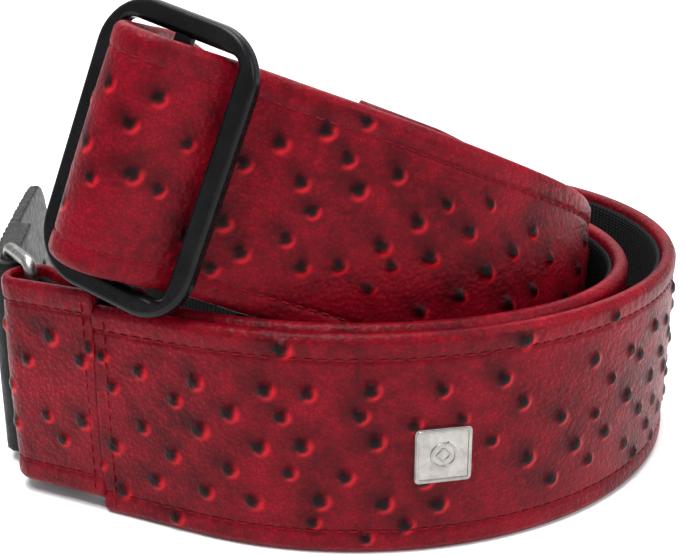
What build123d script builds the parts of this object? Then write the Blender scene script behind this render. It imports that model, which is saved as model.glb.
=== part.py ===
from build123d import *
import math
import os

os.makedirs("parts", exist_ok=True)

# A two-inch padded leather guitar strap, coiled on its edge: +Z up, resting on z = 0.
# A strap surface is followed along its leather face; the layers lie to the left of travel.

# ---- Driving dimensions, millimetres -------------------------------------------------
strap_width = 50.8
leather_thickness = 1.0
core_thickness = 1.4
margin_width = 7.0            # leather turned in over each edge
webbing_thickness = 1.2
webbing_setback = 2.4         # webbing edge to strap edge
layer_gap = 0.12

outer_start = (-59.2, 19.3)   # where the leather face of the outer turn begins
outer_heading = -24.5
outer_lead = 29.0
outer_radius = 86.0
outer_sweep = 144.5
back_radius = 60.0
back_right_sweep = 70.0
turn_gap = 1.2                # between the outer and the second turn, at the front
second_left_radius = 50.0
second_right_radius = 60.0
second_back_radius = 75.0
second_front_end = 29.7       # heading where the right bend tightens
second_back_sweep = 20.0
rise_steps = 10
rise_lean_length = 45.0

slider_centre = (-41.0, 16.9, 83.6)
slider_lean = 19.6            # bar leans to the right
slider_back = 5.0             # and away from the front
panel_heading = 11.0          # plan direction of the front panel at the slider
slider_rock = 37.3            # frame turned about its bar, out of the panel's plane
slider_width = 39.5
slider_window_gap = 2.7       # window height left over beside the strap's width
slider_rail = 5.0
slider_thickness = 4.0
slider_corner = 12.0
slider_inner_corner = 2.6
slider_edge = 1.3
bar_width = 4.0
bar_thickness = 3.0
bar_edge = 0.9

wrap_centre = (-4.0, 0.0)     # bend of the strap round the bar, in the slider's plan
wrap_radius = 10.0
wrap_entry = 240.0
wrap_exit = 14.0
wrap_lead = 10.0
wrap_lift = 0.35
dip_run = 13.0                # the strap dips under the right rail
dip_radius = 25.0
dip_return = -12.0
panel_set_radius = 60.0
panel_flat_run = 12.0
fixed_end_thickness = 1.8
bar_clearance = 0.2
bar_seat = 1.5                # depth of the bar's ends in the frame

# The tape round the bar, behind and before it, as moves: (length, 0, 0) or (0, radius, turn).
tape_rear_heading = 177.0
tape_rear = [(5.0, 0, 0), (0, 30.0, -6.0), (14.6, 0, 0), (0, 30.0, 3.0), (21.6, 0, 0)]
tape_front = [(11.0, 0, 0), (0, 25.0, -20.0), (15.9, 0, 0), (0, 30.0, 6.0), (4.0, 0, 0)]

panel_slope = 0.405
panel_lean_length = 34.0
panel_steps = 9
return_tail = 6.5
panel_straight = 14.6
panel_right_radius = 57.0
panel_tail_radius = 45.0
panel_tail_sweep = 35.0
fold_radius = 6.8

wire_radius = 1.5             # ring wire
ring_span = 16.5              # between the centres of a ring's two bars
ring_clearance = 0.4
ring_a_heading = 123.0
ring_b_heading = 150.0
ring_corner = 2.5
ring_floor_gap = 0.05
end_loop_thickness = 3.4
end_loop_radius = 6.5
end_loop_lead = 21.5
end_loop_tail = 16.5
end_loop_closing = 25.0
end_loop_flare_radius = 10.0
seam_place = 4.6              # the end loop butts the strap here
butt_gap = 0.1
loop_lift = 3.4               # the ends stand clear of their rings' lower rails

tab_thickness = 3.0
tab_length = 92.0
tab_neck_inset = 0.8          # tab neck narrower than the strap
tab_width = 54.0
tab_bore_radius = 4.0
tab_bore_place = 72.0
tab_slit_length = 12.0
tab_slit_width = 1.2
tab_loop_radius = 4.9
tab_tail = 20.0
tab_closing = 25.0
tab_flare_radius = 12.0
tab_neck_length = 20.0
tab_shoulder = 40.0
tab_end_radius = 20.0
tab_a_heading = 98.0
tab_b_heading = 225.0

badge_side = 12.5
badge_corner = 1.0
badge_thickness = 1.0
badge_bearing = 12.2          # degrees round the outer turn from its front
badge_height = 23.5
prong_width = 2.0
prong_thickness = 0.4
prong_spacing = 7.0
prong_clearance = 0.1
backing_width = 10.5
backing_height = 6.2
backing_corner = 0.8
backing_thickness = 0.4
backing_gap = 0.25
foot_length = 2.6
foot_thickness = 0.35

centre_shift = (4.88, -78.79)   # puts the origin under the middle of the whole part

# ---- Worked-out values ---------------------------------------------------------------
strap_thickness = leather_thickness + core_thickness + leather_thickness + webbing_thickness
second_radius = outer_radius - strap_thickness - turn_gap
slider_height = strap_width + slider_window_gap + 2 * slider_rail
tab_neck_width = strap_width - tab_neck_inset


def at(x, y, z=0.0):
    """A point of the coil's own plan, in the part's frame."""
    return Vector(x + centre_shift[0], y + centre_shift[1], z)


def direction(heading):
    """Unit vector in plan; headings are degrees from +X towards +Y."""
    return Vector(math.cos(math.radians(heading)), math.sin(math.radians(heading)), 0)


def follow(point, heading, moves, distance=None):
    """Point and heading after the moves, or after a distance along them.

    A move is (length, 0, 0) for a straight run or (0, radius, turn) for an arc, left turns positive.
    """
    left = distance
    for length, radius, turn in moves:
        span = length if radius == 0 else radius * math.radians(abs(turn))
        share = 1.0 if left is None else min(1.0, left / span)
        if radius == 0:
            point = point + direction(heading) * length * share
        else:
            side = 1 if turn > 0 else -1
            middle = point + direction(heading + 90 * side) * radius
            heading = heading + turn * share
            point = middle - direction(heading + 90 * side) * radius
        if left is not None:
            left = left - span
            if left <= 0:
                break
    return point, heading


def line_length(moves):
    spans = [length if radius == 0 else radius * math.radians(abs(turn)) for length, radius, turn in moves]
    return sum(spans)


def aim(plane, point, heading):
    """A point and a heading of a plane's own plan, in the part's frame."""
    start = plane.from_local_coords(point)
    return start, plane.from_local_coords(point + direction(heading)) - start


def draw_moves(plane, point, heading, moves):
    """Add straight runs and tangent arcs to the open BuildLine."""
    for length, radius, turn in moves:
        start, forward = aim(plane, point, heading)
        if radius == 0:
            Line(start, start + forward * length)
        else:
            JernArc(start=start, tangent=forward, radius=radius, arc_size=turn)
        point, heading = follow(point, heading, [(length, radius, turn)])


def leather_outline(height):
    """The leather: a face with both edges turned round the core."""
    half = height / 2
    inner = strap_thickness - webbing_thickness
    fold = inner - leather_thickness
    skin = leather_thickness
    return [
        (0, -half), (0, half), (inner, half), (inner, half - margin_width),
        (fold, half - margin_width), (fold, half - skin), (skin, half - skin),
        (skin, skin - half), (fold, skin - half), (fold, margin_width - half),
        (inner, margin_width - half), (inner, -half),
    ]


def core_outline(height):
    """The core: a flat pad, thicker between the turned-in margins."""
    tall = height / 2 - leather_thickness - layer_gap
    short = height / 2 - margin_width - layer_gap
    near = leather_thickness + layer_gap
    step = leather_thickness + core_thickness - layer_gap
    far = strap_thickness - webbing_thickness - layer_gap
    return [
        (near, -tall), (near, tall), (step, tall), (step, short),
        (far, short), (far, -short), (step, -short), (step, -tall),
    ]


def webbing_outline(height):
    """The webbing that lines the strap, set back from both edges."""
    half = height / 2 - webbing_setback
    near = strap_thickness - webbing_thickness + layer_gap
    return [(near, -half), (near, half), (strap_thickness, half), (strap_thickness, -half)]


def plain_outline(near, far, height):
    return [(near, -height / 2), (near, height / 2), (far, height / 2), (far, -height / 2)]


def sweep_band(outline, plane, point, heading, moves):
    """Sweep an outline along moves drawn in a plane; the outline's height runs along its normal."""
    with BuildLine(plane) as route:
        draw_moves(plane, point, heading, moves)
    start, forward = aim(plane, point, heading)
    sideways = plane.z_dir.cross(forward)
    with BuildSketch(Plane(origin=start, x_dir=sideways, z_dir=forward)) as section:
        with BuildLine():
            Polyline(*outline, close=True)
        make_face()
    sweep(sections=section.sketch, path=Wire(route.line.edges()))


def loft_band(outline_of, stations):
    """Loft an outline through stations, each a plane and the band's height there."""
    sections = []
    for plane, height in stations:
        with BuildSketch(plane) as section:
            with BuildLine():
                Polyline(*outline_of(height), close=True)
            make_face()
        sections.append(section.sketch.face())
    loft(sections=sections)


def station(point, heading, slope, up):
    """The plane across a band at a point of its leather face, and the band's height along it."""
    forward = (direction(heading) + Vector(0, 0, slope)).normalized()
    sideways = up.cross(forward).normalized()
    height = strap_width / up.cross(forward).length
    return Plane(origin=point, x_dir=sideways, z_dir=sideways.cross(up)), height


# ---- The slider's own frame: its bar is the plane's normal ---------------------------
bar_axis = Vector(math.tan(math.radians(slider_lean)), math.tan(math.radians(slider_back)), 1).normalized()
across = direction(panel_heading)
across = (across - bar_axis * across.dot(bar_axis)).normalized()
slider_plane = Plane(origin=at(*slider_centre), x_dir=across, z_dir=bar_axis)
strap_plane = slider_plane.offset(wrap_lift)
frame_plane = Plane(
    origin=slider_plane.origin,
    x_dir=slider_plane.from_local_coords(direction(-slider_rock)) - slider_plane.origin,
    z_dir=bar_axis,
)

# ---- Routes --------------------------------------------------------------------------
floor_plane = Plane.XY.offset(strap_width / 2)
outer_point = at(*outer_start) + direction(outer_heading) * seam_place
outer_middle = at(*outer_start) + direction(outer_heading) * outer_lead
outer_middle = outer_middle + direction(outer_heading + 90) * outer_radius

# Second turn: its front is concentric with the outer turn.
front_point = outer_middle - direction(outer_heading + 90) * second_radius
left_middle = front_point + direction(outer_heading + 90) * second_left_radius
second_point = left_middle - Vector(second_left_radius, 0, 0)
second_moves = [
    (0, second_left_radius, outer_heading + 90),
    (0, second_radius, second_front_end - outer_heading),
    (0, second_right_radius, 90 - second_front_end),
    (0, second_back_radius, second_back_sweep),
]
rise_point, rise_heading = follow(second_point, -90, second_moves)

# Outer turn: straight runs at the back and the left bring it to the second turn.
back_left_sweep = 270 - outer_heading - outer_sweep - back_right_sweep
outer_moves = [
    (outer_lead - seam_place, 0, 0),
    (0, outer_radius, outer_sweep),
    (0, back_radius, back_right_sweep),
]
back_point, back_heading = follow(outer_point, outer_heading, outer_moves)
corner = follow(Vector(0, 0, 0), back_heading, [(0, back_radius, back_left_sweep)])[0]
back_run = (second_point.X - back_point.X - corner.X) / direction(back_heading).X
left_run = back_point.Y + direction(back_heading).Y * back_run + corner.Y - second_point.Y
outer_moves += [(back_run, 0, 0), (0, back_radius, back_left_sweep), (left_run, 0, 0)]

# Wrap round the slider's bar, in the slider's plan: in from behind, out under the right rail.
wrap_tangent = Vector(*wrap_centre) - direction(wrap_entry + 90) * wrap_radius
wrap_point = wrap_tangent - direction(wrap_entry) * wrap_lead
wrap_moves = [
    (wrap_lead, 0, 0),
    (0, wrap_radius, 360 + wrap_exit - wrap_entry),
    (dip_run, 0, 0),
    (0, dip_radius, dip_return - wrap_exit),
    (0, panel_set_radius, -dip_return),
    (panel_flat_run, 0, 0),
]
wrap_end, wrap_end_heading = follow(wrap_point, wrap_entry, wrap_moves)


def tilted(point, heading):
    """Point, plan heading and slope, in the part's frame, of a place in the strap's tilted plan."""
    start, forward = aim(strap_plane, point, heading)
    flat = math.hypot(forward.X, forward.Y)
    return start, math.degrees(math.atan2(forward.Y, forward.X)), forward.Z / flat


# Rising run: one large bend and a straight, from the second turn to the slider's back.
rise_end, rise_end_heading, rise_end_slope = tilted(wrap_point, wrap_entry)
rise_turn = (rise_end_heading - rise_heading) % 360
bend = follow(Vector(0, 0, 0), rise_heading, [(0, 1, rise_turn)])[0]
goal = rise_end - rise_point
last = direction(rise_end_heading)
rise_radius = (goal.X * last.Y - goal.Y * last.X) / (bend.X * last.Y - bend.Y * last.X)
rise_run = (goal.Y * bend.X - goal.X * bend.Y) / (last.Y * bend.X - last.X * bend.Y)
rise_moves = [(0, rise_radius, rise_turn), (rise_run, 0, 0)]
rise_length = line_length(rise_moves)


def leaning(blend):
    """The direction of the band's width: upright at 0, along the slider's bar at 1."""
    return (Vector(0, 0, 1) * (1 - blend) + bar_axis * blend).normalized()


def rise_height(distance):
    """Cubic rise of the strap's middle: level at the start, the slider's slope at the end."""
    t = distance / rise_length
    climb = rise_end.Z - strap_width / 2
    height = strap_width / 2 + climb * (3 - 2 * t) * t * t
    height = height + rise_end_slope * rise_length * (t - 1) * t * t
    slope = climb * 6 * t * (1 - t) / rise_length + rise_end_slope * (3 * t - 2) * t
    return height, slope


def rise_stations():
    places = []
    for step in range(rise_steps + 1):
        distance = rise_length * step / rise_steps
        point, heading = follow(rise_point, rise_heading, rise_moves, distance)
        height, slope = rise_height(distance)
        up = leaning(max(0.0, 1 - (rise_length - distance) / rise_lean_length))
        places.append(station(Vector(point.X, point.Y, height), heading, slope, up))
    return places


# Front panel: straight, then round inside the second turn, sinking almost to the floor.
panel_point, panel_start_heading, panel_start_slope = tilted(wrap_end, wrap_end_heading)
panel_moves = [
    (panel_straight, 0, 0),
    (0, panel_right_radius, 90 - panel_start_heading),
    (0, panel_tail_radius, panel_tail_sweep),
]
panel_length = line_length(panel_moves)
low_middle = loop_lift + strap_width / 2
level_length = 2 * (panel_length - (panel_point.Z - low_middle) / panel_slope)


def panel_height(distance):
    """Steady fall, then a parabola that levels out."""
    left = panel_length - distance
    if left >= level_length:
        return panel_point.Z - panel_slope * distance, -panel_slope
    slope = panel_slope * left / level_length
    return low_middle + slope * left / 2, -slope


def panel_stations():
    places = [station(panel_point, panel_start_heading, panel_start_slope, bar_axis)]
    for step in range(1, panel_steps + 1):
        distance = panel_length * step / panel_steps
        point, heading = follow(panel_point, panel_start_heading, panel_moves, distance)
        height, slope = panel_height(distance)
        up = leaning(max(0.0, 1 - distance / panel_lean_length))
        places.append(station(Vector(point.X, point.Y, height), heading, slope, up))
    return places


def return_stations():
    """The doubled length lies inside the panel, leather inwards, and stops short of the slider."""
    places = []
    for plane, height in reversed(panel_stations()):
        origin = plane.origin + plane.x_dir * 2 * fold_radius
        places.append((Plane(origin=origin, x_dir=-plane.x_dir, z_dir=-plane.z_dir), height))
    plane, height = places[-1]
    origin = plane.origin + plane.z_dir * return_tail
    places.append((Plane(origin=origin, x_dir=plane.x_dir, z_dir=plane.z_dir), height))
    return places


low_plane = Plane.XY.offset(low_middle)
fold_point, fold_heading = follow(panel_point, panel_start_heading, panel_moves)
fold_point = Vector(fold_point.X, fold_point.Y, 0)
fold_middle = fold_point + direction(fold_heading + 90) * fold_radius

# ---- Strap: leather, core and webbing of each span -----------------------------------
layers = {
    "leather": leather_outline,
    "core": core_outline,
    "webbing": webbing_outline,
}
swept_spans = {
    "outer_turn": (floor_plane, outer_point, outer_heading, outer_moves),
    "second_turn": (floor_plane, second_point, -90, second_moves),
    "slider_wrap": (strap_plane, wrap_point, wrap_entry, wrap_moves),
    "ring_fold": (low_plane, fold_point, fold_heading, [(0, fold_radius, 180)]),
}
lofted_spans = {
    "rising_run": rise_stations(),
    "front_panel": panel_stations(),
    "return_run": return_stations(),
}

badge_middle = outer_middle - direction(badge_bearing + 90) * outer_radius
badge_plane = Plane(
    origin=Vector(badge_middle.X, badge_middle.Y, badge_height),
    x_dir=direction(badge_bearing),
    z_dir=-direction(badge_bearing + 90),
)


def draw_prongs(clearance):
    """Two upright slots or legs, side by side, in the open sketch."""
    with Locations((-prong_spacing / 2, 0), (prong_spacing / 2, 0)):
        Rectangle(prong_thickness + 2 * clearance, prong_width + 2 * clearance)


for span, (plane, point, heading, moves) in swept_spans.items():
    for layer, outline_of in layers.items():
        with BuildPart() as band:
            sweep_band(outline_of(strap_width), plane, point, heading, moves)
            if span == "outer_turn":
                with BuildSketch(badge_plane):
                    draw_prongs(prong_clearance)
                extrude(amount=-2 * strap_thickness, mode=Mode.SUBTRACT)
        band.part.label = f"{span}_{layer}"
        export_step(band.part, f"parts/{span}_{layer}.step")

for span, stations in lofted_spans.items():
    for layer, outline_of in layers.items():
        with BuildPart() as band:
            loft_band(outline_of, stations)
        band.part.label = f"{span}_{layer}"
        export_step(band.part, f"parts/{span}_{layer}.step")

# ---- End loop round ring A, its tail sewn inside the start of the outer turn ---------
loop_plane = Plane.XY.offset(loop_lift + strap_width / 2)
loop_rise = end_loop_radius * (1 + math.cos(math.radians(end_loop_closing)))
loop_rise = loop_rise - strap_thickness - butt_gap - end_loop_thickness
loop_rise = loop_rise - end_loop_flare_radius * (1 - math.cos(math.radians(end_loop_closing)))
loop_moves = [
    (end_loop_tail, 0, 0),
    (0, end_loop_flare_radius, -end_loop_closing),
    (loop_rise / math.sin(math.radians(end_loop_closing)), 0, 0),
    (0, end_loop_radius, 180 + end_loop_closing),
    (end_loop_lead, 0, 0),
]
loop_heading = outer_heading + 180
loop_end = outer_point - direction(outer_heading) * butt_gap
loop_point = loop_end - follow(Vector(0, 0, 0), loop_heading, loop_moves)[0]
ring_a_place = loop_end - direction(outer_heading) * end_loop_lead
ring_a_place = ring_a_place + direction(outer_heading + 90) * end_loop_radius
loop_lining = end_loop_thickness - webbing_thickness

with BuildPart() as end_loop_leather:
    sweep_band(plain_outline(0, loop_lining, strap_width), loop_plane, loop_point, loop_heading, loop_moves)
end_loop_leather.part.label = "end_loop_leather"
export_step(end_loop_leather.part, "parts/end_loop_leather.step")

with BuildPart() as end_loop_lining:
    lining_outline = plain_outline(loop_lining, end_loop_thickness, strap_width - 2 * webbing_setback)
    sweep_band(lining_outline, loop_plane, loop_point, loop_heading, loop_moves)
end_loop_lining.part.label = "end_loop_lining"
export_step(end_loop_lining.part, "parts/end_loop_lining.step")

# ---- Slider: a rounded frame with a bar seated in it ---------------------------------
face_plane = Plane(origin=frame_plane.origin, x_dir=frame_plane.x_dir, z_dir=-frame_plane.y_dir)
bar_half = slider_height / 2 - slider_rail + bar_seat


def draw_bar():
    RectangleRounded(bar_width, bar_thickness, bar_edge)


with BuildPart() as slider_frame:
    with BuildSketch(face_plane):
        RectangleRounded(slider_width, slider_height, slider_corner)
        RectangleRounded(
            slider_width - 2 * slider_rail,
            slider_height - 2 * slider_rail,
            slider_inner_corner,
            mode=Mode.SUBTRACT,
        )
    extrude(amount=slider_thickness / 2, both=True)
    fillet(slider_frame.edges(), radius=slider_edge)
    with BuildSketch(frame_plane.offset(-bar_half)):
        draw_bar()
    extrude(amount=2 * bar_half, mode=Mode.SUBTRACT)
slider_frame.part.label = "slider_frame"
export_step(slider_frame.part, "parts/slider_frame.step")

with BuildPart() as slider_bar:
    with BuildSketch(frame_plane.offset(-bar_half)):
        draw_bar()
    extrude(amount=2 * bar_half)
slider_bar.part.label = "slider_bar"
export_step(slider_bar.part, "parts/slider_bar.step")

# ---- Fixed end: a tape sewn to the doubled length and looped round the bar -----------
tape_radius = math.hypot(bar_width / 2 - bar_edge, bar_thickness / 2 - bar_edge) + bar_edge
tape_radius = tape_radius + bar_clearance + fixed_end_thickness
tape_moves = tape_rear + [(0, tape_radius, 360 + wrap_exit - tape_rear_heading)] + tape_front
tape_point = Vector(0, 0, 0) - direction(tape_rear_heading + 90) * tape_radius
tape_point = tape_point - follow(Vector(0, 0, 0), 180, tape_rear)[0]

with BuildPart() as fixed_end_tape:
    tape_outline = plain_outline(0, fixed_end_thickness, strap_width - 2 * webbing_setback)
    sweep_band(tape_outline, strap_plane, tape_point, 180, tape_moves)
fixed_end_tape.part.label = "fixed_end_tape"
export_step(fixed_end_tape.part, "parts/fixed_end_tape.step")

# ---- Rings ---------------------------------------------------------------------------
ring_low = wire_radius + ring_floor_gap
ring_high = loop_lift + strap_width + ring_clearance + wire_radius


def upright(place, heading):
    """A vertical plane through a bar: its x runs along the heading and its y is up."""
    return Plane(origin=Vector(place.X, place.Y, 0), x_dir=direction(heading), z_dir=direction(heading - 90))


ring_planes = {
    "ring_a": upright(ring_a_place, ring_a_heading),
    "ring_b": upright(fold_middle, ring_b_heading),
}
for name, plane in ring_planes.items():
    with BuildPart() as ring:
        with BuildLine(plane) as wire:
            corners = [(0, ring_low), (ring_span, ring_low), (ring_span, ring_high), (0, ring_high)]
            FilletPolyline(*corners, radius=ring_corner, close=True)
        with BuildSketch(Plane(origin=wire.line @ 0, z_dir=wire.line % 0)):
            Circle(wire_radius)
        sweep(path=Wire(wire.line.edges()))
    ring.part.label = name
    export_step(ring.part, f"parts/{name}.step")

# ---- End tabs, each folded round its ring's outer bar --------------------------------
tab_step = tab_loop_radius * (1 + math.cos(math.radians(tab_closing))) - 2 * tab_thickness - 2 * layer_gap
tab_step = tab_step - tab_flare_radius * (1 - math.cos(math.radians(tab_closing)))
tab_moves = [
    (tab_length, 0, 0),
    (0, tab_loop_radius, 180 + tab_closing),
    (tab_step / math.sin(math.radians(tab_closing)), 0, 0),
    (0, tab_flare_radius, -tab_closing),
    (tab_tail, 0, 0),
]
tab_places = {
    "tab_a": (ring_a_place + direction(ring_a_heading) * ring_span, tab_a_heading),
    "tab_b": (fold_middle + direction(ring_b_heading) * ring_span, tab_b_heading),
}
neck_top = loop_lift + tab_neck_width
side_profile = [
    (-2 * tab_loop_radius, loop_lift), (tab_neck_length, loop_lift), (tab_shoulder, 0), (tab_length, 0),
    (tab_length, tab_width), (tab_shoulder, tab_width), (tab_neck_length, neck_top),
    (-2 * tab_loop_radius, neck_top),
]
for name, (place, heading) in tab_places.items():
    side_plane = upright(place, heading)
    far_end = Vector(place.X, place.Y, 0) + direction(heading) * tab_length
    far_end = far_end + direction(heading + 90) * tab_loop_radius
    with BuildPart() as tab:
        sheet = plain_outline(0, tab_thickness, tab_width)
        sweep_band(sheet, Plane.XY.offset(tab_width / 2), far_end, heading + 180, tab_moves)
        with BuildSketch(side_plane) as profile:
            with BuildLine():
                Polyline(*side_profile, close=True)
            make_face()
            ends = profile.vertices().group_by(Axis.X)[-1]
            fillet(ends, radius=tab_end_radius)
        extrude(amount=3 * tab_loop_radius, both=True, mode=Mode.INTERSECT)
        with BuildSketch(side_plane):
            with Locations((tab_bore_place, tab_width / 2)):
                Circle(tab_bore_radius)
            with Locations((tab_bore_place - tab_slit_length / 2 - tab_bore_radius / 2, tab_width / 2)):
                Rectangle(tab_slit_length + tab_bore_radius, tab_slit_width)
        extrude(amount=3 * tab_loop_radius, both=True, mode=Mode.SUBTRACT)
    tab.part.label = name
    export_step(tab.part, f"parts/{name}.step")

# ---- Badge: a plate whose prongs pass through the strap and fold over a backing ------
with BuildPart() as badge_plate:
    with BuildSketch(badge_plane.offset(layer_gap)):
        RectangleRounded(badge_side, badge_side, badge_corner)
    extrude(amount=badge_thickness)
badge_plate.part.label = "badge_plate"
export_step(badge_plate.part, "parts/badge_plate.step")

backing_plane = badge_plane.offset(-strap_thickness - backing_gap)
with BuildPart() as badge_backing:
    with BuildSketch(backing_plane):
        RectangleRounded(backing_width, backing_height, backing_corner)
        with Locations((-prong_spacing / 2, 0), (prong_spacing / 2, 0)):
            Rectangle(
                prong_thickness + prong_clearance,
                prong_width + prong_clearance,
                mode=Mode.SUBTRACT,
            )
    extrude(amount=-backing_thickness)
badge_backing.part.label = "badge_backing"
export_step(badge_backing.part, "parts/badge_backing.step")

with BuildPart() as badge_prongs:
    with BuildSketch(badge_plane.offset(layer_gap)):
        draw_prongs(0)
    extrude(amount=-strap_thickness - layer_gap - backing_gap - backing_thickness - foot_thickness)
    with BuildSketch(backing_plane.offset(-backing_thickness)):
        for side in (-1, 1):
            with Locations((side * (prong_spacing / 2 - prong_thickness / 2 - foot_length / 2), 0)):
                Rectangle(foot_length, prong_width)
    extrude(amount=-foot_thickness)
badge_prongs.part.label = "badge_prongs"
export_step(badge_prongs.part, "parts/badge_prongs.step")

floor_length = line_length(outer_moves) + line_length(second_moves)
raised_length = rise_length + line_length(wrap_moves) + 2 * panel_length
print(f"strap length {floor_length + raised_length:.0f} mm, of which {floor_length:.0f} mm is at floor level")
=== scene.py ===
import math

import bpy
import numpy as np
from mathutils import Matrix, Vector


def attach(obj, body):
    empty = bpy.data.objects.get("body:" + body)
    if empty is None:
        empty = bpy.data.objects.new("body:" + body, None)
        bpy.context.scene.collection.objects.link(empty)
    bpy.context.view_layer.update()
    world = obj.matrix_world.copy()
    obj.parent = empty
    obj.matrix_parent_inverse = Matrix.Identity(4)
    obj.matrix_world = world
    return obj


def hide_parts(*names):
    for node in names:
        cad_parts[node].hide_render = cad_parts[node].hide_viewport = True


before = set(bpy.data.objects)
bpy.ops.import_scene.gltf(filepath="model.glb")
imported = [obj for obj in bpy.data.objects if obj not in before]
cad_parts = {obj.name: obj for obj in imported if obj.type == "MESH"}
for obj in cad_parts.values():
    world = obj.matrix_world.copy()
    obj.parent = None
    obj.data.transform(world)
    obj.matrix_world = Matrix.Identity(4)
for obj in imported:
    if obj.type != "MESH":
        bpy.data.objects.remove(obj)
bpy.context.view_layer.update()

rng = np.random.default_rng(7)

# ---- Sizes of the strap, in metres ----------------------------------------------------
WIDTH = 0.0508
THICK = 0.0046            # all the layers together
LEATHER = 0.0010
MARGIN = 0.0070           # leather turned in over each edge
WEBBING = 0.0012
SETBACK = 0.0024          # webbing edge to strap edge
HEM = 0.0055              # sewn groove to strap edge
STITCH_PITCH = 0.0031
LAYER_GAP = 0.0002        # pad to leather
WEBBING_GAP = 0.00005     # turned-in leather to webbing
PAD_INSET = 0.0006
SHIFT = np.array([0.00488, -0.07879, 0.0])   # puts the origin under the whole part's middle
UP = np.array([0.0, 0.0, 1.0])
FINE_STEP, COARSE_STEP = 0.00055, 0.0018

# Relief of the leather's face.
PILLOW_HEIGHT, HEM_HEIGHT, PUCKER_HEIGHT = 0.00035, 0.00028, 0.00005
GROOVE_DEPTH, GROOVE_WIDTH = 0.00042, 0.00042
QUILL_PITCH, QUILL_ROW_PITCH, QUILL_REACH = 0.0132, 0.0066, 0.0075
QUILL_SKIPPED = 0.08      # share of the quills that are missing
SPAN_RELIEF = {"slider_wrap": 0.30, "ring_fold": 0.3, "return_run": 0.6}

# ---- Camera, as the first thing made --------------------------------------------------
bpy.context.scene.view_settings.view_transform = "Standard"
camera_data = bpy.data.cameras.new("camera")
camera_data.lens = 57.73
camera_data.sensor_width = 36.0
camera_back, camera_height, camera_pitch = 0.2094, 0.131, 72
camera = bpy.data.objects.new("camera", camera_data)
camera.location = (SHIFT[0], SHIFT[1] - camera_back, camera_height)
camera.rotation_euler = (math.radians(camera_pitch), 0, 0)
bpy.context.scene.collection.objects.link(camera)
bpy.context.scene.camera = camera


# ---- Routes ---------------------------------------------------------------------------
def heading_vector(degrees):
    return np.array([math.cos(math.radians(degrees)), math.sin(math.radians(degrees)), 0.0])


def sample(point, heading, moves, step):
    """Points, headings and distances along moves.

    A move is (length, 0, 0) for a straight run, or (0, radius, turn) for an arc. Left turns
    are positive.
    """
    points, headings, distances = [np.array(point, float)], [heading], [0.0]
    for length, radius, turn in moves:
        span = length if radius == 0 else radius * math.radians(abs(turn))
        count = max(1, round(span / step))
        start, first, before = points[-1], headings[-1], distances[-1]
        side = 1 if turn > 0 else -1
        for i in range(1, count + 1):
            share = i / count
            if radius == 0:
                points.append(start + heading_vector(first) * length * share)
                headings.append(first)
            else:
                middle = start + heading_vector(first + 90 * side) * radius
                headings.append(first + turn * share)
                points.append(middle - heading_vector(headings[-1] + 90 * side) * radius)
            distances.append(before + span * share)
    return np.array(points), np.array(headings), np.array(distances)


def end_of(point, heading, moves):
    points, headings, distances = sample(point, heading, moves, 1.0)
    return points[-1], headings[-1], distances[-1]


def flat_places(plane, point, heading, moves, step):
    """Stations of a band swept in a plane, whose normal is the band's width."""
    origin, x_axis, y_axis, z_axis = plane
    points, headings, distances = sample(point, heading, moves, step)
    middle = origin + points[:, :1] * x_axis + points[:, 1:2] * y_axis
    angle = np.radians(headings + 90)
    left = np.cos(angle)[:, None] * x_axis + np.sin(angle)[:, None] * y_axis
    up = np.repeat(z_axis[None], len(points), 0)
    return middle, left, up, np.full(len(points), WIDTH), distances


def sloped_places(points, headings, slopes, ups, distances):
    """Stations of a band that climbs: width along up, thickness to the left of travel."""
    angle = np.radians(headings)
    forward = np.stack([np.cos(angle), np.sin(angle), slopes], 1)
    forward /= np.linalg.norm(forward, axis=1)[:, None]
    left = np.cross(ups, forward)
    size = np.linalg.norm(left, axis=1)
    return points, left / size[:, None], ups, WIDTH / size, distances


# Outer turn and second turn, which lie on the floor; the second's front is concentric.
outer_heading, outer_radius, outer_sweep = -24.5, 0.086, 144.5
outer_lead, seam_place, turn_gap = 0.029, 0.0046, 0.0012
back_radius, back_right_sweep, back_left_sweep = 0.060, 70.0, 80.0
left_radius, second_front_end = 0.050, 29.7
outer_ahead, outer_inward = heading_vector(outer_heading), heading_vector(outer_heading + 90)
outer_start = np.array([-0.0592, 0.0193, 0.0]) + SHIFT
outer_point = outer_start + outer_ahead * seam_place
outer_middle = outer_start + outer_ahead * outer_lead + outer_inward * outer_radius
second_radius = outer_radius - THICK - turn_gap
front_point = outer_middle - outer_inward * second_radius
second_point = front_point + outer_inward * left_radius - np.array([left_radius, 0, 0])
second_moves = [
    (0, left_radius, outer_heading + 90), (0, second_radius, second_front_end - outer_heading),
    (0, 0.060, 90 - second_front_end), (0, 0.075, 20.0),
]
rise_point, rise_heading, _ = end_of(second_point, -90, second_moves)
outer_moves = [
    (outer_lead - seam_place, 0, 0), (0, outer_radius, outer_sweep),
    (0, back_radius, back_right_sweep),
]
back_point, back_heading, _ = end_of(outer_point, outer_heading, outer_moves)
back_ahead = heading_vector(back_heading)
corner, _, _ = end_of((0, 0, 0), back_heading, [(0, back_radius, back_left_sweep)])
back_run = (second_point[0] - back_point[0] - corner[0]) / back_ahead[0]
left_run = back_point[1] + back_ahead[1] * back_run + corner[1] - second_point[1]
outer_moves += [(back_run, 0, 0), (0, back_radius, back_left_sweep), (left_run, 0, 0)]

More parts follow.
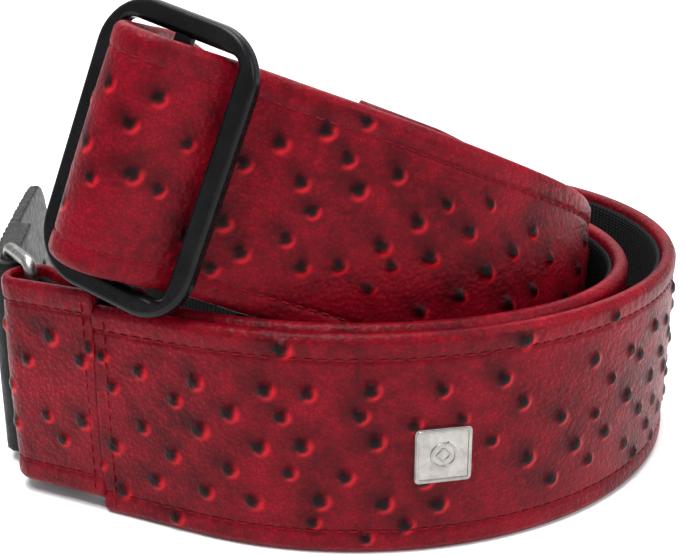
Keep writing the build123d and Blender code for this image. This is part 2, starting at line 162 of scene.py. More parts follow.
# The slider's bar leans, and the strap round it lies in the bar's own tilted plan.
slider_lean, slider_back, slider_heading = 19.6, 5.0, 11.0
slider_centre, wrap_lift = np.array([-0.0410, 0.0169, 0.0836]), 0.00035
wrap_centre, wrap_radius, wrap_lead = np.array([-0.004, 0, 0]), 0.010, 0.010
wrap_entry, wrap_exit, dip_return = 240.0, 14.0, -12.0
bar_axis = np.array(
    [math.tan(math.radians(slider_lean)), math.tan(math.radians(slider_back)), 1.0]
)
bar_axis /= np.linalg.norm(bar_axis)
across = heading_vector(slider_heading)
across = across - bar_axis * across.dot(bar_axis)
across /= np.linalg.norm(across)
bar_side = np.cross(bar_axis, across)
slider_middle = slider_centre + SHIFT
strap_plane = (slider_middle + bar_axis * wrap_lift, across, bar_side, bar_axis)
wrap_tangent = wrap_centre - heading_vector(wrap_entry + 90) * wrap_radius
wrap_point = wrap_tangent - heading_vector(wrap_entry) * wrap_lead
wrap_moves = [
    (wrap_lead, 0, 0), (0, wrap_radius, 360 + wrap_exit - wrap_entry), (0.013, 0, 0),
    (0, 0.025, dip_return - wrap_exit), (0, 0.060, -dip_return), (0.012, 0, 0),
]
wrap_end, wrap_end_heading, _ = end_of(wrap_point, wrap_entry, wrap_moves)


def tilted(point, heading):
    """Point, plan heading and slope of a place in the tilted plan."""
    origin, x_axis, y_axis, _ = strap_plane
    ahead = heading_vector(heading)
    forward = x_axis * ahead[0] + y_axis * ahead[1]
    place = origin + x_axis * point[0] + y_axis * point[1]
    flat = math.hypot(forward[0], forward[1])
    return place, math.degrees(math.atan2(forward[1], forward[0])), forward[2] / flat


# Rising run: one arc and one straight run, as long as they need to be to meet the wrap.
rise_lean_length = 0.045
rise_end, rise_end_heading, rise_end_slope = tilted(wrap_point, wrap_entry)
rise_turn = (rise_end_heading - rise_heading) % 360
bend, _, _ = end_of((0, 0, 0), rise_heading, [(0, 1.0, rise_turn)])
goal, last = rise_end - rise_point, heading_vector(rise_end_heading)
rise_cross = bend[0] * last[1] - bend[1] * last[0]
rise_radius = (goal[0] * last[1] - goal[1] * last[0]) / rise_cross
rise_run = (goal[1] * bend[0] - goal[0] * bend[1]) / rise_cross
rise_moves = [(0, rise_radius, rise_turn), (rise_run, 0, 0)]


def leaning(blend):
    """Directions of the band's width, from upright at 0 to the slider's bar at 1."""
    ups = UP * (1 - blend[:, None]) + bar_axis * blend[:, None]
    return ups / np.linalg.norm(ups, axis=1)[:, None]


def rise_places(step):
    points, headings, distances = sample(rise_point, rise_heading, rise_moves, step)
    length = distances[-1]
    t = distances / length
    climb = rise_end[2] - WIDTH / 2
    points[:, 2] = (
        WIDTH / 2 + climb * (3 - 2 * t) * t * t + rise_end_slope * length * (t - 1) * t * t
    )
    slopes = climb * 6 * t * (1 - t) / length + rise_end_slope * (3 * t - 2) * t
    ups = leaning(np.clip(1 - (length - distances) / rise_lean_length, 0, 1))
    return sloped_places(points, headings, slopes, ups, distances)


# Front panel, ring fold and return run; the panel's end stands clear of ring B's lower rail.
panel_slope, panel_lean_length, loop_lift = 0.405, 0.034, 0.0034
fold_radius, return_tail = 0.0068, 0.0065
panel_point, panel_heading, panel_slope_first = tilted(wrap_end, wrap_end_heading)
panel_moves = [(0.0146, 0, 0), (0, 0.057, 90 - panel_heading), (0, 0.045, 35.0)]
low_middle = loop_lift + WIDTH / 2


def panel_places(step):
    points, headings, distances = sample(panel_point * [1, 1, 0], panel_heading, panel_moves, step)
    length = distances[-1]
    level = 2 * (length - (panel_point[2] - low_middle) / panel_slope)
    left = length - distances
    steep = left >= level
    fall = panel_slope * left / level
    points[:, 2] = np.where(
        steep, panel_point[2] - panel_slope * distances, low_middle + fall * left / 2
    )
    slopes = np.where(steep, -panel_slope, -fall)
    slopes[0] = panel_slope_first
    ups = leaning(np.clip(1 - distances / panel_lean_length, 0, 1))
    return sloped_places(points, headings, slopes, ups, distances)


fold_point, fold_heading, _ = end_of(panel_point * [1, 1, 0], panel_heading, panel_moves)


def return_places(step):
    """The panel's own stations in reverse, a fold's width behind it, and a short tail."""
    points, left, ups, heights, distances = panel_places(step)
    points, left = points[::-1] + left[::-1] * 2 * fold_radius, -left[::-1]
    forward = points[-1] - points[-2]
    forward /= np.linalg.norm(forward)
    points = np.vstack([points, points[-1] + forward * return_tail])
    distances = np.append(distances, distances[-1] + return_tail)
    left = np.vstack([left, left[-1:]])
    ups = np.vstack([ups[::-1], ups[:1]])
    return points, left, ups, np.append(heights[::-1], heights[0]), distances


def flat_span(*route):
    return lambda step: flat_places(*route, step)


x_direction, y_direction = np.array([1.0, 0, 0]), np.array([0, 1.0, 0])
floor_plane = (UP * WIDTH / 2, x_direction, y_direction, UP)
low_plane = (UP * low_middle, x_direction, y_direction, UP)

span_places = {
    "outer_turn": flat_span(floor_plane, outer_point, outer_heading, outer_moves),
    "second_turn": flat_span(floor_plane, second_point, -90, second_moves),
    "rising_run": rise_places,
    "slider_wrap": flat_span(strap_plane, wrap_point, wrap_entry, wrap_moves),
    "front_panel": panel_places,
    "ring_fold": flat_span(low_plane, fold_point, fold_heading, [(0, fold_radius, 180)]),
    "return_run": return_places,
}


# ---- Meshes ---------------------------------------------------------------------------
def new_object(name, vertices, faces, material, smooth=True):
    mesh = bpy.data.meshes.new(name)
    mesh.from_pydata(np.asarray(vertices).tolist(), [], faces)
    mesh.update()
    if smooth:
        mesh.polygons.foreach_set("use_smooth", [True] * len(mesh.polygons))
    mesh.materials.append(material)
    piece = bpy.data.objects.new(name, mesh)
    bpy.context.scene.collection.objects.link(piece)
    return piece


def band(name, places, across_n, across_v, material):
    """A band along stations; across_n and across_v are the closed outline at every station."""
    middle, left, up, heights, distances = places
    rows, columns = across_n.shape
    stretch = (heights / WIDTH)[:, None, None]
    vertices = middle[:, None] + left[:, None] * across_n[..., None]
    vertices = vertices + up[:, None] * across_v[..., None] * stretch
    i, j = np.meshgrid(np.arange(rows - 1), np.arange(columns), indexing="ij")
    k = (j + 1) % columns
    near, far = i * columns, (i + 1) * columns
    faces = np.stack([near + j, near + k, far + k, far + j], -1).reshape(-1, 4).tolist()
    faces.append(list(range(columns))[::-1])
    faces.append([(rows - 1) * columns + c for c in range(columns)])
    piece = new_object(name, vertices.reshape(-1, 3), faces, material)
    store(piece, "along", np.repeat(distances[:, None], columns, 1).ravel())
    store(piece, "height", across_v.ravel())
    return piece


def store(piece, name, values):
    attribute = piece.data.attributes.new(name, "FLOAT", "POINT")
    attribute.data.foreach_set("value", np.asarray(values, np.float32))


def skin_outline(inner):
    """The leather's closed outline, and how many of its first points are on the outer face."""
    half, roll = WIDTH / 2, inner / 2
    face_v = np.linspace(-half + roll, half - roll, 96)
    n, v = [0 * face_v], [face_v]
    angle = np.linspace(90, -90, 11)[1:]
    for side in (1, -1):
        arc_n = roll - np.sin(np.radians(angle)) * roll
        arc_v = half - roll + np.cos(np.radians(angle)) * roll
        low, fold = inner - LEATHER, half - MARGIN
        path_n = np.concatenate([
            arc_n, np.full(5, inner), [inner - 0.0002, low + 0.0001], np.full(4, low), [LEATHER],
        ])
        path_v = np.concatenate([
            arc_v, np.linspace(half - roll, fold, 6)[1:], [fold - 0.0001, fold],
            np.linspace(fold + 0.0003, half - roll, 4), [half - roll],
        ])
        if side == 1:
            n.append(path_n)
            v.append(path_v)
        else:
            n.append(path_n[::-1])
            v.append(-path_v[::-1])
    return np.concatenate(n), np.concatenate(v), len(face_v)


def edge_relief(s, edge, strength):
    """The padded middle, the rolled hem, and the sewn groove with its puckers."""
    inside = np.clip((edge - HEM) / (WIDTH / 2 - HEM), 0, 1)
    pillow = PILLOW_HEIGHT * (1 - (1 - inside) ** 2)
    hem = HEM_HEIGHT * np.sin(np.pi * np.clip(edge / HEM, 0, 1)) * (edge < HEM)
    groove = -GROOVE_DEPTH * np.exp(-((edge - HEM) / GROOVE_WIDTH) ** 2)
    near_groove = np.exp(-((edge - HEM * 0.8) / 0.0016) ** 2)
    pucker = PUCKER_HEIGHT * np.sin(s * 2 * np.pi / STITCH_PITCH) * near_groove
    return (pillow + hem + groove) * np.minimum(1, strength + 0.3)[:, None] + pucker


def quill_shape(ds, dv, seed):
    """One quill's bump, dark core, painted highlight and painted shadow masks; ds and dv are
    distances from it, in its own radii.
    """
    d = np.hypot(ds, dv)
    # How far each point lies toward the light, for the painted highlight on the rim.
    toward = (ds * 0.80 - dv * 0.60) / (d + 0.15)
    bump = np.exp(-(d / 0.92) ** 4) - 0.22 * np.exp(-(np.hypot(ds + 0.2, dv - 0.2) / 0.35) ** 2)
    turn = np.arctan2(dv, ds)
    ragged = 1 + 0.16 * np.sin(3 * turn + seed.uniform(0, 6))
    ragged = ragged + 0.10 * np.sin(5 * turn + seed.uniform(0, 6))
    core = np.hypot(ds + 0.16, dv - 0.12) / ragged
    dark = np.exp(-(core / 0.92) ** 4)
    # Painted highlight: a lighter rim on the side of the bump that faces the light.
    painted_highlight = np.exp(-((d - 1.02) / 0.30) ** 2) * np.clip(toward * 1.35, 0, 1)
    # Painted shadow: a dark patch offset to the side of the bump away from the light.
    shadow_distance = np.hypot((ds + 1.0) / 2.3, (dv - 0.9) / 1.9) / ragged
    painted_shadow = seed.uniform(0.55, 1.0) * np.exp(-shadow_distance ** 2)
    return bump, {"dark": dark, "painted_highlight": painted_highlight, "painted_shadow": painted_shadow}


def face_relief(distances, v, strength, first=0.0):
    """Outward height, and the quills' dark core, painted highlight and painted shadow masks, on a
    face grid.
    """
    s = (distances + first)[:, None]
    edge = WIDTH / 2 - np.abs(v)[None]
    strength = np.broadcast_to(np.asarray(strength, float), distances.shape)
    height = edge_relief(s, edge, strength)
    masks = {label: np.zeros_like(height) for label in ("dark", "painted_highlight", "painted_shadow")}
    first_column = math.floor((s[0, 0] - 0.006) / QUILL_PITCH)
    last_column = math.ceil((s[-1, 0] + 0.006) / QUILL_PITCH)
    for row in range(-4, 5):
        offset = 0.5 * QUILL_PITCH * (row % 2)
        for column in range(first_column, last_column + 1):
            seed = np.random.default_rng(column * 131 + row * 17 + 90001)
            qs = column * QUILL_PITCH + offset + seed.normal(0, 0.0015)
            qv = row * QUILL_ROW_PITCH + seed.normal(0, 0.0010)
            size = seed.uniform(0.00140, 0.00195)
            tall = seed.uniform(0.00060, 0.00095)
            on_seam = abs(abs(qv) - (WIDTH / 2 - HEM)) < 0.0012
            if on_seam or abs(qv) > WIDTH / 2 - 0.0022 or seed.random() < QUILL_SKIPPED:
                continue
            rows = np.nonzero(np.abs(s[:, 0] - qs) < QUILL_REACH)[0]
            columns = np.nonzero(np.abs(v - qv) < QUILL_REACH)[0]
            if len(rows) == 0 or len(columns) == 0:
                continue
            block = np.ix_(rows, columns)
            ds, dv = (s[rows] - qs) / size, (v[columns][None] - qv) / size
            bump, quill_masks = quill_shape(ds, dv, seed)
            height[block] += tall * strength[rows][:, None] * bump
            for label, mask in quill_masks.items():
                masks[label][block] = np.maximum(masks[label][block], mask)
    return height, masks


def leather_band(name, places, material, strength=1.0, inner=THICK - WEBBING, first=0.0):
    distances = places[4]
    outline_n, outline_v, face_count = skin_outline(inner)
    across_n = np.repeat(outline_n[None], len(distances), 0)
    across_v = np.repeat(outline_v[None], len(distances), 0)
    height, masks = face_relief(distances, outline_v[:face_count], strength, first)
    across_n[:, :face_count] -= height
    piece = band(name, places, across_n, across_v, material)
    # The quills' dark cores, painted highlights and painted shadows are stored on the skin for its
    # colour.
    for label, mask in masks.items():
        full = np.zeros(across_n.shape)
        full[:, :face_count] = mask
        store(piece, label, full.ravel())
    return piece


def plain_band(name, places, near, far, width, material):
    """A flat band with softened edges, between two offsets from the leather's face."""
    rows = len(places[4])
    half, soft = width / 2, min(0.0003, (far - near) / 3)
    count = 24
    v = np.linspace(-half + soft, half - soft, count)
    side = [near + soft, far - soft]
    n = np.concatenate([np.full(count, near), side, np.full(count, far), side[::-1]])
    v = np.concatenate([v, [half, half], v[::-1], [-half, -half]])
    return band(name, places, np.repeat(n[None], rows, 0), np.repeat(v[None], rows, 0), material)


def stitches(name, places, rows_v, material, depth=-0.00012):
    """Thread stitches along the band at the given heights across it."""
    middle, left, up, heights, distances = places
    length, radius, bow, sides = 0.0023, 0.00024, 0.00022, 6
    along = (-1.0, -0.8, -0.35, 0.35, 0.8, 1.0)
    vertices, faces = [], []

    def between(values, s):
        return np.array([np.interp(s, distances, values[:, a]) for a in range(3)])

    for v in rows_v:
        for s in np.arange(STITCH_PITCH / 2, distances[-1] - STITCH_PITCH / 3, STITCH_PITCH):
            p, q = between(middle, s), between(middle, s + 0.0008)
            n, u = between(left, s), between(up, s)
            t = (q - p) / (np.linalg.norm(q - p) + 1e-12)
            h = np.interp(s, distances, heights) / WIDTH
            centre = p + u * v * h - n * depth
            base = len(vertices)
            for k in along:
                r = radius * math.sqrt(max(0.02, 1 - k ** 4))
                middle_of_ring = centre + t * k * length / 2 + n * bow * k * k
                for a in np.radians(np.arange(0, 360, 360 // sides)):
                    vertices.append(middle_of_ring + (n * math.cos(a) + u * math.sin(a)) * r)
            for i in range(len(along) - 1):
                low = base + i * sides
                for j in range(sides):
                    k = (j + 1) % sides
                    faces.append((low + j, low + k, low + sides + k, low + sides + j))
            last = base + (len(along) - 1) * sides
            faces.append(tuple(base + j for j in reversed(range(sides))))
            faces.append(tuple(last + j for j in range(sides)))
    return new_object(name, np.array(vertices), faces, material)


# ---- Materials ------------------------------------------------------------------------
class Graph:
    """A material's node tree, with short ways to add nodes and links."""

    def __init__(self, name):
        self.material = bpy.data.materials.new(name)
        self.material.use_nodes = True
        self.tree = self.material.node_tree
        self.shader = self.tree.nodes["Principled BSDF"]
        self.place = self.tree.nodes.new("ShaderNodeTexCoord").outputs["Object"]

    def add(self, kind, inputs=(), **settings):
        node = self.tree.nodes.new(kind)
        for key, value in settings.items():
            setattr(node, key, value)
        for key, value in dict(inputs).items():
            self.feed(node.inputs[key], value)
        return node

    def feed(self, socket, value):
        """Link a socket to another node's output, or give it a colour or a number."""
        if isinstance(value, bpy.types.NodeSocket):
            self.tree.links.new(value, socket)
        else:
            socket.default_value = (*value, 1) if isinstance(value, tuple) else value

    def noise(self, scale, detail=4.0, rough=0.55):
        inputs = {"Vector": self.place, "Scale": scale, "Detail": detail, "Roughness": rough}
        return self.add("ShaderNodeTexNoise", inputs).outputs["Fac"]

    def cells(self, scale, feature):
        inputs = {"Vector": self.place, "Scale": scale}
        return self.add("ShaderNodeTexVoronoi", inputs, feature=feature).outputs["Distance"]

    def remap(self, value, low, high, new_low, new_high):
        inputs = {"Value": value, "From Min": low, "From Max": high}
        inputs.update({"To Min": new_low, "To Max": new_high})
        return self.add("ShaderNodeMapRange", inputs).outputs["Result"]

    def mix(self, share, first, second):
        node = self.add("ShaderNodeMix", data_type="RGBA")
        for place, value in ((0, share), (6, first), (7, second)):
            self.feed(node.inputs[place], value)
        return node.outputs[2]

    def math(self, operation, first, second):
        node = self.add("ShaderNodeMath", operation=operation)
        self.feed(node.inputs[0], first)
        self.feed(node.inputs[1], second)
        return node.outputs[0]

    def attribute(self, name):
        return self.add("ShaderNodeAttribute", attribute_name=name).outputs["Fac"]

    def bump(self, height, strength, distance, before=None):
        inputs = {"Height": height, "Strength": strength, "Distance": distance}
        if before:
            inputs["Normal"] = before
        return self.add("ShaderNodeBump", inputs).outputs["Normal"]

    def set(self, **values):
        for key, value in values.items():
            self.feed(self.shader.inputs[key.replace("_", " ")], value)
        return self.material


def red_leather():
    g = Graph("red_leather")
    mottle = g.remap(g.noise(55, 6, 0.65), 0.36, 0.64, 0, 1)
    colour = g.mix(mottle, (0.070, 0.0006, 0.0035), (0.190, 0.0012, 0.0085))
    fine = g.remap(g.noise(420, 5, 0.7), 0.45, 0.70, 0, 0.55)
    colour = g.mix(fine, colour, (0.270, 0.0020, 0.0120))
    # Painted shade: the grain's creases between its bumps are darkened.
    crease_shade = g.remap(g.cells(950, "DISTANCE_TO_EDGE"), 0.0, 0.16, 0.55, 0.0)
    colour = g.mix(crease_shade, colour, (0.05, 0.002, 0.004))
    # Painted shadow on the far side of each quill bump.
    colour = g.mix(g.math("MULTIPLY", g.attribute("painted_shadow"), 0.80), colour, (0.022, 0.0005, 0.0016))
    # Painted highlight on the lit rim of each quill bump.
    colour = g.mix(g.math("MULTIPLY", g.attribute("painted_highlight"), 0.9), colour, (0.50, 0.0080, 0.0180))
    colour = g.mix(g.math("MULTIPLY", g.attribute("dark"), 0.98), colour, (0.0030, 0.0006, 0.0008))
    rough = g.remap(g.noise(700, 4, 0.6), 0.3, 0.7, 0.30, 0.50)
    grain = g.bump(g.cells(950, "SMOOTH_F1"), 0.55, 0.00035)
    grain = g.bump(g.noise(1900, 5, 0.65), 0.35, 0.0002, grain)
    grain = g.bump(g.noise(260, 4, 0.6), 0.35, 0.0006, grain)
    return g.set(Base_Color=colour, Roughness=rough, Normal=grain, Specular_IOR_Level=0.09)


def thread():
    g = Graph("red_thread")
    twist = g.noise(2600, 3)
    light = g.remap(twist, 0.35, 0.65, 0, 1)
    colour = g.mix(light, (0.085, 0.0012, 0.0045), (0.21, 0.0025, 0.0095))
    normal = g.bump(twist, 0.5, 0.0002)
    return g.set(Base_Color=colour, Roughness=0.6, Normal=normal, Specular_IOR_Level=0.12)


def ribbed_webbing():
    g = Graph("ribbed_webbing")
    along, height = g.attribute("along"), g.attribute("height")
    ribs = g.math("SINE", g.math("MULTIPLY", along, 2 * math.pi / 0.0019), 0.0)
    picks = g.math("SINE", g.math("MULTIPLY", height, 2 * math.pi / 0.0009), 0.0)
    weave = g.math("ADD", ribs, g.math("MULTIPLY", picks, 0.35))
    fuzz = g.noise(2400, 4, 0.7)
    light = g.remap(g.math("ADD", weave, fuzz), -0.6, 2.0, 0, 1)
    colour = g.mix(light, (0.0012, 0.0012, 0.0014), (0.014, 0.014, 0.016))
    normal = g.bump(weave, 0.8, 0.00035)
    normal = g.bump(fuzz, 0.5, 0.0002, normal)
    return g.set(Base_Color=colour, Roughness=0.75, Normal=normal, Specular_IOR_Level=0.12)


def felt_core():
    g = Graph("felt_core")
    fibres = g.noise(1200, 6, 0.75)
    light = g.remap(fibres, 0.3, 0.7, 0, 1)
    colour = g.mix(light, (0.02, 0.018, 0.018), (0.07, 0.065, 0.065))
    return g.set(Base_Color=colour, Roughness=0.9, Normal=g.bump(fibres, 0.6, 0.0004))


def black_leather():
    g = Graph("black_leather")
    face = g.remap(g.noise(300, 5, 0.65), 0.35, 0.7, 0, 1)
    colour = g.mix(face, (0.003, 0.0028, 0.0028), (0.009, 0.0085, 0.0085))
    specks = g.remap(g.noise(2300, 5, 0.75), 0.50, 0.66, 0, 1)
    edge_colour = g.mix(specks, (0.005, 0.0048, 0.0048), (0.075, 0.072, 0.070))
    colour = g.mix(g.attribute("raw"), colour, edge_colour)
    grain = g.bump(g.cells(1300, "DISTANCE_TO_EDGE"), 0.5, 0.0002)
    grain = g.bump(g.noise(2400, 5, 0.7), 0.4, 0.0002, grain)
    rough = g.remap(g.noise(500, 3), 0.3, 0.7, 0.38, 0.6)
    return g.set(Base_Color=colour, Roughness=rough, Normal=grain, Specular_IOR_Level=0.15)


def gloss_slider():
    g = Graph("gloss_slider")
    light = g.remap(g.noise(90, 4), 0.4, 0.65, 0, 1)
    colour = g.mix(light, (0.0025, 0.0025, 0.0028), (0.006, 0.006, 0.0065))
    rough = g.remap(g.noise(800, 5, 0.7), 0.3, 0.75, 0.20, 0.34)
    normal = g.bump(g.noise(350, 4), 0.12, 0.0002)
    return g.set(Base_Color=colour, Roughness=rough, Normal=normal, Specular_IOR_Level=0.14)


def satin_metal(name, dark, light):
    g = Graph(name)
    colour = g.mix(g.remap(g.noise(420, 5, 0.7), 0.35, 0.65, 0, 1), dark, light)
    rough = g.remap(g.noise(1500, 5, 0.7), 0.3, 0.7, 0.26, 0.44)
    normal = g.bump(g.noise(2200, 5, 0.7), 0.22, 0.0001)
    return g.set(Base_Color=colour, Roughness=rough, Normal=normal, Metallic=1.0)


leather, red_thread, webbing = red_leather(), thread(), ribbed_webbing()
felt, tab_leather, slider_finish = felt_core(), black_leather(), gloss_slider()
ring_metal = satin_metal("ring_metal", (0.20, 0.19, 0.18), (0.36, 0.35, 0.33))
badge_metal = satin_metal("badge_metal", (0.26, 0.245, 0.23), (0.36, 0.345, 0.32))


def finish_piece(piece, body, nodes):
    """Ride the piece on its body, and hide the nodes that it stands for."""
    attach(piece, body)
    if nodes:
        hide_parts(*nodes)


# ---- The strap: one leather, one core and one webbing, through all its spans ----------
def whole_strap(step):
    """Stations of all the spans in one run, and each station's relief strength."""
    parts, strengths, travelled = [], [], 0.0
    for span, places_at in span_places.items():
        middle, left, up, heights, distances = places_at(step)
        first = 1 if parts else 0
        columns = (middle, left, up, heights, distances + travelled)
        parts.append([column[first:] for column in columns])
        strengths.append(np.full(len(middle) - first, SPAN_RELIEF.get(span, 1.0)))
        travelled += distances[-1]
    places = tuple(np.concatenate([part[k] for part in parts]) for k in range(5))
    reach = max(1, round(0.008 / step))
    window = np.ones(2 * reach + 1) / (2 * reach + 1)
    padded = np.pad(np.concatenate(strengths), reach, mode="edge")
    return places, np.convolve(padded, window, "valid")


fine, fine_strength = whole_strap(FINE_STEP)
coarse, _ = whole_strap(COARSE_STEP)
layer_nodes = {
    layer: [f"{span}_{layer}" for span in span_places] for layer in ("leather", "core", "webbing")
}
hem_rows = (HEM - WIDTH / 2, WIDTH / 2 - HEM)
webbing_width = WIDTH - 2 * SETBACK
skin = leather_band("strap_skin", fine, leather, fine_strength)
finish_piece(skin, "strap", layer_nodes["leather"])
sewing = stitches("strap_stitches", coarse, hem_rows, red_thread)
finish_piece(sewing, "strap", [])
pad_near, pad_far = LEATHER + LAYER_GAP, THICK - WEBBING - LAYER_GAP
pad = plain_band("strap_pad", coarse, pad_near, pad_far, WIDTH - 2 * MARGIN - PAD_INSET, felt)
finish_piece(pad, "strap", layer_nodes["core"])
near = THICK - WEBBING + WEBBING_GAP
lining = plain_band("strap_lining", coarse, near, THICK, webbing_width, webbing)
finish_piece(lining, "strap", layer_nodes["webbing"])

# ---- End loop round ring A ------------------------------------------------------------
loop_thick, loop_radius, closing, flare_radius, butt_gap = 0.0034, 0.0065, 25.0, 0.010, 0.0001
closing_cosine = math.cos(math.radians(closing))
loop_rise = loop_radius * (1 + closing_cosine) - THICK - butt_gap - loop_thick
loop_rise -= flare_radius * (1 - closing_cosine)
loop_moves = [
    (0.0165, 0, 0), (0, flare_radius, -closing),
    (loop_rise / math.sin(math.radians(closing)), 0, 0),
    (0, loop_radius, 180 + closing), (0.0215, 0, 0),
]
loop_heading = outer_heading + 180
loop_end = outer_point - outer_ahead * butt_gap
loop_point = loop_end - end_of((0, 0, 0), loop_heading, loop_moves)[0]
loop_places = flat_places(low_plane, loop_point, loop_heading, loop_moves, 0.0005)
loop_coarse = flat_places(low_plane, loop_point, loop_heading, loop_moves, 0.0012)
loop_inner = loop_thick - WEBBING
loop_skin = leather_band(
    "end_loop_skin", loop_places, leather, strength=0.8, inner=loop_inner, first=3.0
)
finish_piece(loop_skin, "strap", ["end_loop_leather"])
loop_sewing = stitches("end_loop_stitches", loop_coarse, hem_rows, red_thread)
finish_piece(loop_sewing, "strap", [])
near = loop_inner + WEBBING_GAP
loop_tape = plain_band("end_loop_tape", loop_coarse, near, loop_thick, webbing_width, webbing)
finish_piece(loop_tape, "strap", ["end_loop_lining"])

# Upright rows of stitches either side of the seam.
seam_count = 40
seam_heights = np.linspace(0, 0.0472, seam_count)


def seam_row(name, offset, lift, depth):
    base = outer_point + outer_ahead * offset + UP * (0.0018 + lift)
    upright = (
        base + seam_heights[:, None] * UP, np.repeat(outer_inward[None], seam_count, 0),
        np.repeat(outer_ahead[None], seam_count, 0), np.full(seam_count, WIDTH), seam_heights,
    )
    finish_piece(stitches(name, upright, (0.0,), red_thread, depth), "strap", [])


seam_row("seam_row_a", 0.0030, 0.0, 0.00042)
seam_row("seam_row_b", -0.0026, loop_lift, 0.00035)

# ---- Fixed end of the strap, round the slider's bar -----------------------------------
tape_thick, tape_rear_heading = 0.0018, 177.0
bar_half_width, bar_half_thickness, bar_edge, bar_clearance = 0.002, 0.0015, 0.0009, 0.0002
tape_radius = math.hypot(bar_half_width - bar_edge, bar_half_thickness - bar_edge)
tape_radius += bar_edge + bar_clearance + tape_thick
tape_rear = [(0.005, 0, 0), (0, 0.030, -6.0), (0.0146, 0, 0), (0, 0.030, 3.0), (0.0216, 0, 0)]
tape_front = [(0.011, 0, 0), (0, 0.025, -20.0), (0.0159, 0, 0), (0, 0.030, 6.0), (0.004, 0, 0)]
tape_turn = 360 + wrap_exit - tape_rear_heading
tape_moves = tape_rear + [(0, tape_radius, tape_turn)] + tape_front
tape_point = -heading_vector(tape_rear_heading + 90) * tape_radius
tape_point = tape_point - end_of((0, 0, 0), 180, tape_rear)[0]
tape_places = flat_places(strap_plane, tape_point, 180, tape_moves, 0.0008)
bar_tape = plain_band("slider_bar_tape", tape_places, 0.0, tape_thick, webbing_width, webbing)
finish_piece(bar_tape, "strap", ["fixed_end_tape"])


# ---- End tabs: thick leather with raw edges -------------------------------------------
def raw_tab(name, node):
    """The CAD tab, its edges softened and its cut faces roughened with fibres."""
    grow, fibre_height = 0.0002, 0.00010
    piece = bpy.data.objects.new(name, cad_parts[node].data.copy())
    bpy.context.scene.collection.objects.link(piece)
    piece.data.materials.clear()
    bpy.context.view_layer.objects.active = piece
    weld = piece.modifiers.new("weld", "WELD")
    weld.merge_threshold = 0.00001
    remesh = piece.modifiers.new("remesh", "REMESH")
    remesh.mode = "VOXEL"
    remesh.voxel_size = 0.0006
    smooth = piece.modifiers.new("smooth", "SMOOTH")
    smooth.factor = 0.5
    smooth.iterations = 3
    for modifier in list(piece.modifiers):
        bpy.ops.object.modifier_apply(modifier=modifier.name)
    mesh = piece.data
    mesh.materials.append(tab_leather)
    mesh.polygons.foreach_set("use_smooth", [True] * len(mesh.polygons))
    co = np.zeros(len(mesh.vertices) * 3)
    mesh.vertices.foreach_get("co", co)
    normals = np.zeros(len(mesh.vertices) * 3)
    mesh.vertex_normals.foreach_get("vector", normals)
    co, normals = co.reshape(-1, 3), normals.reshape(-1, 3)
    box_low, box_high = co.min(0), co.max(0)
    raw = np.clip((np.abs(normals[:, 2]) - 0.35) / 0.3, 0, 1)
    store(piece, "raw", raw)
    fibre = rng.normal(0, fibre_height, len(co)) * raw
    co = np.clip(co + normals * fibre[:, None], box_low - grow, box_high + grow)
    mesh.vertices.foreach_set("co", co.ravel())
    mesh.update()
    return piece


for node in ("tab_a", "tab_b"):
    tab = raw_tab(f"{node}_leather", node)
    finish_piece(tab, node, [node])

# ---- Slider, rings and badge: the CAD shapes, with their own finishes -----------------
for node, material in (
    ("slider_frame", slider_finish), ("slider_bar", slider_finish),
    ("ring_a", ring_metal), ("ring_b", ring_metal),
    ("badge_plate", badge_metal), ("badge_backing", badge_metal), ("badge_prongs", badge_metal),
):
    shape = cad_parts[node]
    shape.data.materials.clear()
    shape.data.materials.append(material)

badge_bearing, badge_lift, badge_height = 12.2, 0.00112, 0.0235
badge_out = heading_vector(badge_bearing - 90)
badge_right = heading_vector(badge_bearing)
badge_face = outer_middle + badge_out * (outer_radius + badge_lift) + UP * badge_height


def badge_ridge(name, outline, height, thickness):
    """A closed raised line on the badge's face, half round in section."""
    outline = np.array(outline)
    vertices, faces = [], []
    count = len(outline)
    for i in range(count):
        ahead = outline[(i + 1) % count] - outline[i - 1]
        ahead /= np.linalg.norm(ahead)
        side = np.array([-ahead[1], ahead[0]])
        for angle in np.radians([0, 45, 90, 135, 180, 270]):
            flat = outline[i] + side * math.cos(angle) * thickness
            out = math.sin(angle) * height
            vertices.append(badge_face + badge_right * flat[0] + UP * flat[1] + badge_out * out)
    for i in range(count):
        for j in range(6):
            a, b = i * 6 + j, i * 6 + (j + 1) % 6
            c, d = ((i + 1) % count) * 6 + (j + 1) % 6, ((i + 1) % count) * 6 + j
            faces.append((a, b, c, d))
    piece = new_object(name, np.array(vertices), faces, badge_metal)
    finish_piece(piece, "strap", [])


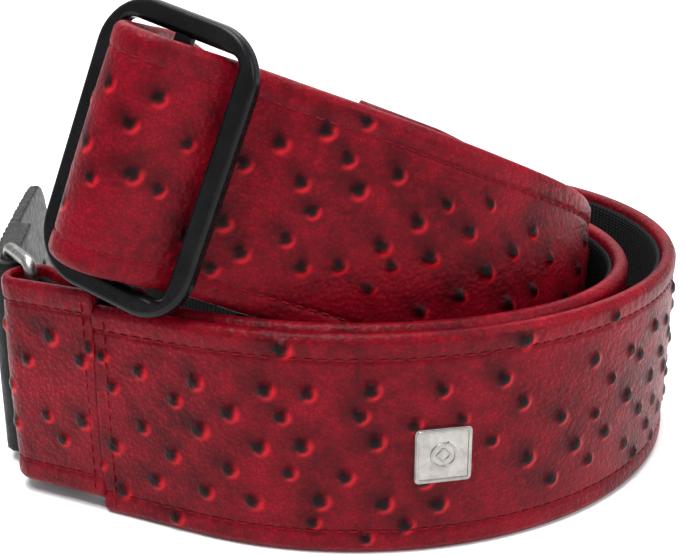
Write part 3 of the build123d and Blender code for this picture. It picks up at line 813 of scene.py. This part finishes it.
def rounded_square(half, corner, count=8):
    points = []
    for k, (x, y) in enumerate(((1, 1), (-1, 1), (-1, -1), (1, -1))):
        for a in np.linspace(k * 90, k * 90 + 90, count):
            ahead = heading_vector(a)
            points.append((x * (half - corner) + corner * ahead[0],
                           y * (half - corner) + corner * ahead[1]))
    return points


def circle(radius, count):
    angles = np.linspace(0, 2 * math.pi, count + 1)[:-1]
    return [(radius * math.cos(a), radius * math.sin(a)) for a in angles]


def diamond(half):
    corners = np.array([(1, 0), (0, 1), (-1, 0), (0, -1)]) * half
    return [point for k in range(4) for point in (corners[k], (corners[k] + corners[k - 3]) / 2)]


badge_ridge("badge_rim", rounded_square(0.00575, 0.0008), 0.00035, 0.00035)
badge_ridge("badge_ring", circle(0.0027, 39), 0.00028, 0.00026)
badge_ridge("badge_diamond", diamond(0.0016), 0.00025, 0.00022)

# ---- Floor and light ------------------------------------------------------------------
paper = Graph("paper_floor")
tone = paper.mix(paper.noise(6, 3), (0.93, 0.93, 0.93), (0.95, 0.95, 0.95))
paper.set(Base_Color=tone, Roughness=0.8)
floor_corners = [(-4, -2, 0), (4, -2, 0), (4, 6, 0), (-4, 6, 0)]
floor = new_object("floor", floor_corners, [(0, 1, 2, 3)], paper.material, smooth=False)


def area_light(name, location, aim, size, power):
    data = bpy.data.lights.new(name, "AREA")
    data.shape = "RECTANGLE"
    data.size, data.size_y = size
    data.energy = power
    lamp = bpy.data.objects.new(name, data)
    lamp.location = location
    toward = Vector(aim) - Vector(location)
    lamp.rotation_euler = toward.to_track_quat("-Z", "Y").to_euler()
    bpy.context.scene.collection.objects.link(lamp)


area_light("key", (-0.15, -0.30, 0.80), (0, -0.02, 0.03), (0.40, 0.40), 7.5)
area_light("fill", (0.80, -0.45, 0.55), (0, 0, 0.04), (0.5, 0.5), 3.6)
area_light("top", (0.0, 0.25, 0.95), (0, 0.05, 0.03), (0.9, 0.9), 8.0)
area_light("back", (0.0, 1.9, 1.6), (0, 2.4, 0), (2.5, 1.5), 60.0)
world = bpy.data.worlds.new("studio")
bpy.context.scene.world = world
world.use_nodes = True
background = world.node_tree.nodes["Background"]
background.inputs["Color"].default_value = (0.95, 0.96, 1.0, 1)
background.inputs["Strength"].default_value = 0.62
